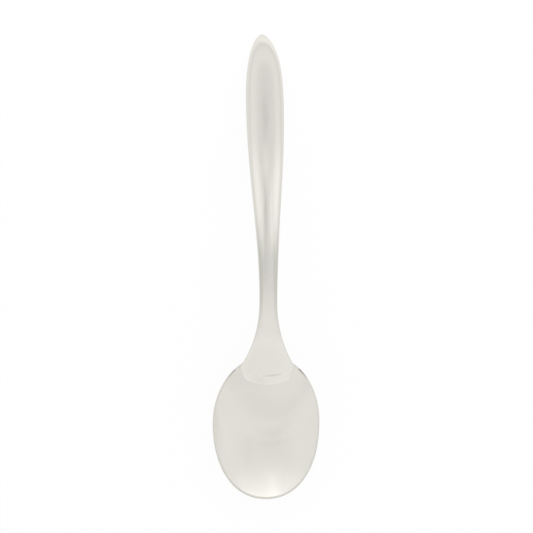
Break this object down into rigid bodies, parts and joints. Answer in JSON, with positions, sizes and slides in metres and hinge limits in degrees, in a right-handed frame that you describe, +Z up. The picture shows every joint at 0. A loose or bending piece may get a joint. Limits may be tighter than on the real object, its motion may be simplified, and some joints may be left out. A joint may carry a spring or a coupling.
{
  "type": "serving spoon",
  "caption": "Serving spoon in polished stainless steel: an oval bowl welded to a slim flared neck, with a hollow teardrop grip, for lifting and serving food.",
  "frame": {"origin": "on the table under the middle of the spoon's length and width, as the spoon rests on its bowl and the tip of its grip", "axes": "+Z up, out of the bowl's hollow; +Y along the spoon towards the tip of the grip; +X across, to the right when looking along +Y"},
  "size_m": [0.0584, 0.254, 0.0281],
  "materials": {
    "polished_steel": "bright polished, with faint lengthwise polishing lines",
    "dressed_weld": "ground and polished flush with the steel round it"
  },
  "bodies": {
    "root": {"bowl": "polished_steel", "neck": "polished_steel", "foot_weld": "dressed_weld", "grip_front_shell": "polished_steel", "grip_back_shell": "polished_steel", "seam_weld": "dressed_weld", "mouth_weld": "dressed_weld"}
  },
  "joints": []
}
